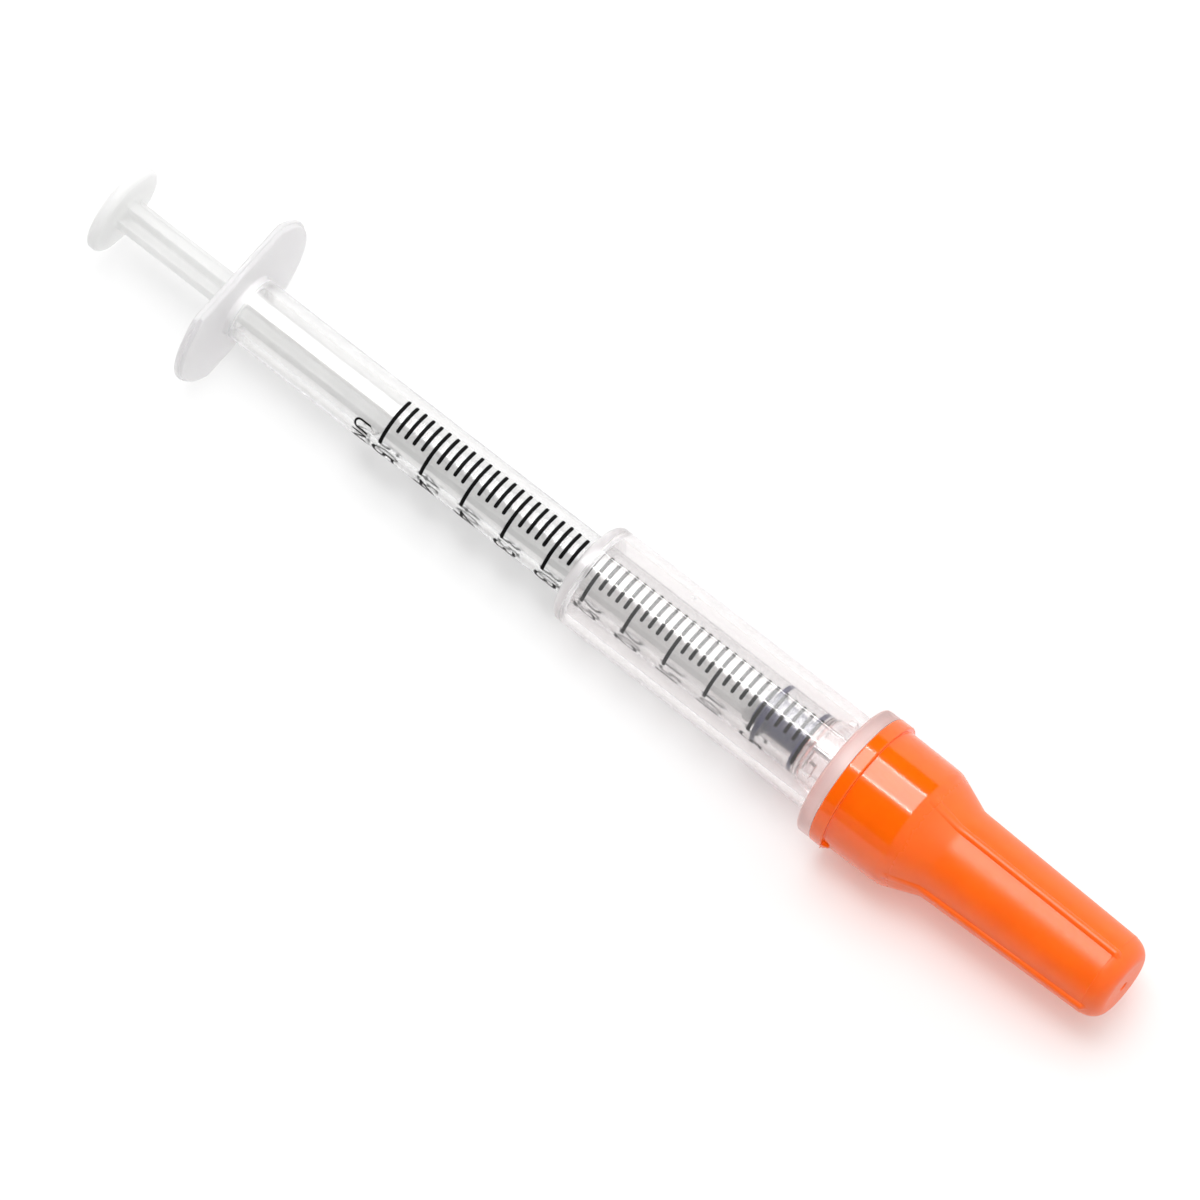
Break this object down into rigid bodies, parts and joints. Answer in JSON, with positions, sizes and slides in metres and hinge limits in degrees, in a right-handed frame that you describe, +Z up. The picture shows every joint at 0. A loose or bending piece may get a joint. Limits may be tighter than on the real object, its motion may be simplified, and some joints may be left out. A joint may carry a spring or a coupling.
{
  "type": "safety insulin syringe",
  "caption": "Slim plastic syringe with fixed needle, clear sliding guard sleeve, flat-sided finger flange, cross-section plunger and ribbed orange needle cap; plunger, sleeve and cap slide.",
  "frame": {"origin": "bottom centre of the bounding box at rest, on the surface the syringe lies on; the syringe axis is 5.9 mm above it and the zero line of the scale is at x = +19.51 mm", "axes": "+X along the syringe axis toward the needle, +Z up out of the resting surface, +Y sideways"},
  "size_m": [0.1026, 0.0156, 0.0118],
  "materials": {
    "barrel_plastic": "translucent milky polypropylene, glossy",
    "collar_plastic": "clear glossy moulding",
    "needle_steel": "drawn stainless tube, bright",
    "bond_resin": "cured clear adhesive",
    "rod_plastic": "natural polypropylene, frosted",
    "stopper_rubber": "dark rubber, satin",
    "sleeve_plastic": "clear, very glossy",
    "cap_plastic": "orange polyethylene, satin gloss"
  },
  "bodies": {
    "barrel": {"barrel": "barrel_plastic", "collar": "collar_plastic", "needle": "needle_steel", "needle_bond": "bond_resin"},
    "plunger": {"plunger_rod": "rod_plastic", "stopper": "stopper_rubber"},
    "sleeve": {"guard_sleeve": "sleeve_plastic"},
    "cap": {"needle_cap": "cap_plastic"}
  },
  "joints": [
    {"name": "plunger_slide", "type": "slide", "parent": "barrel", "child": "plunger", "axis": [-1, 0, 0], "range_m": [0, 0.046]},
    {"name": "sleeve_slide", "type": "slide", "parent": "barrel", "child": "sleeve", "axis": [1, 0, 0], "range_m": [0, 0.0224]},
    {"name": "cap_pull", "type": "slide", "parent": "sleeve", "child": "cap", "axis": [1, 0, 0], "range_m": [0, 0.035]}
  ]
}
